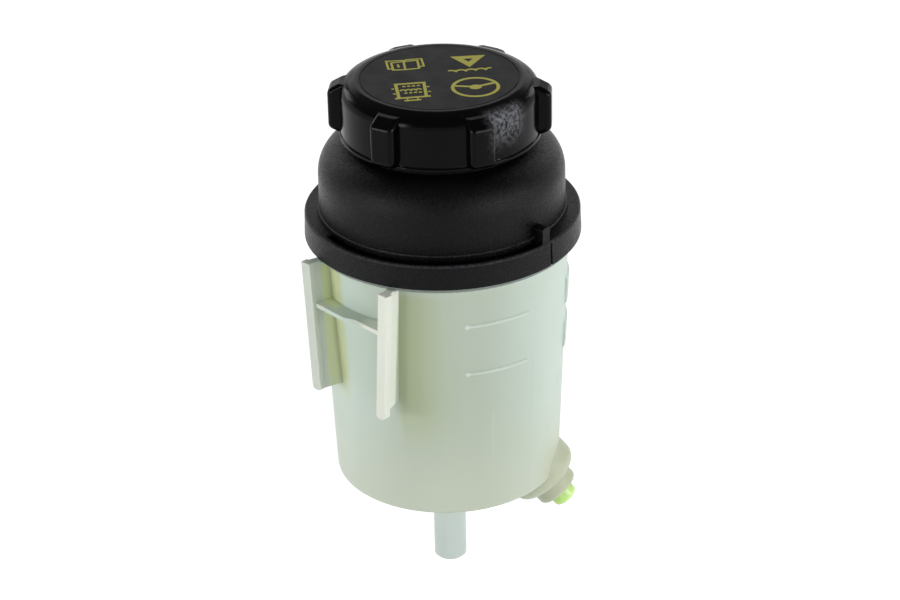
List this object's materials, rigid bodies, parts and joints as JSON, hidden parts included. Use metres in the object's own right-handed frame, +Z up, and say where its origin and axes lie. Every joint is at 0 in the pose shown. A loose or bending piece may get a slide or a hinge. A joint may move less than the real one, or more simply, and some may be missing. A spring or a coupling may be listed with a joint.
{
  "type": "power steering reservoir",
  "caption": "Translucent fluid vessel with bracket rails, level marks, bottom return spigot and slanted suction outlet, closed by a black cover and a lobed screw cap.",
  "frame": {"origin": "centre of the filler neck's mouth, under the cap's gasket", "axes": "+Z up along the vessel's axis, -Y out through the two bracket rails, +X to the rails' right as seen from outside"},
  "size_m": [0.1, 0.101, 0.1814],
  "materials": {
    "natural_plastic": "satin, translucent",
    "black_cover_plastic": "fine grain",
    "black_cap_plastic": "satin",
    "grey_inner_plastic": "satin",
    "black_rubber": "matt",
    "fine_mesh": "woven",
    "green_soft_plastic": "soft, glossy"
  },
  "bodies": {
    "reservoir": {"vessel": "natural_plastic", "cover": "black_cover_plastic", "splash_baffle": "grey_inner_plastic", "filter_cage": "grey_inner_plastic", "filter_screen": "fine_mesh", "filter_seal": "black_rubber", "filter_lid": "grey_inner_plastic"},
    "gasket": {"cap_gasket": "black_rubber"},
    "seal": {"cap_seal_plate": "grey_inner_plastic", "vent_valve": "black_rubber"},
    "cap": {"cap_shell": "black_cap_plastic"},
    "plug": {"outlet_plug": "green_soft_plastic"}
  },
  "joints": [
    {"name": "cap_lift", "type": "slide", "parent": "reservoir", "child": "gasket", "axis": [0, 0, 1], "range_m": [0, 0.08]},
    {"name": "cap_rise", "type": "slide", "parent": "gasket", "child": "seal", "axis": [0, 0, 1], "range_m": [0, 0.005]},
    {"name": "cap_turn", "type": "hinge", "parent": "seal", "child": "cap", "pos_m": [0, 0, 0], "axis": [0, 0, 1], "range_deg": [0, 450]},
    {"name": "plug_pull", "type": "slide", "parent": "reservoir", "child": "plug", "axis": [0.5439, 0.3669, -0.7547], "range_m": [0, 0.03]}
  ],
  "couplings": [
    {"joint": "cap_rise", "follows": "cap_turn", "m_per_rad": 0.00063662}
  ]
}
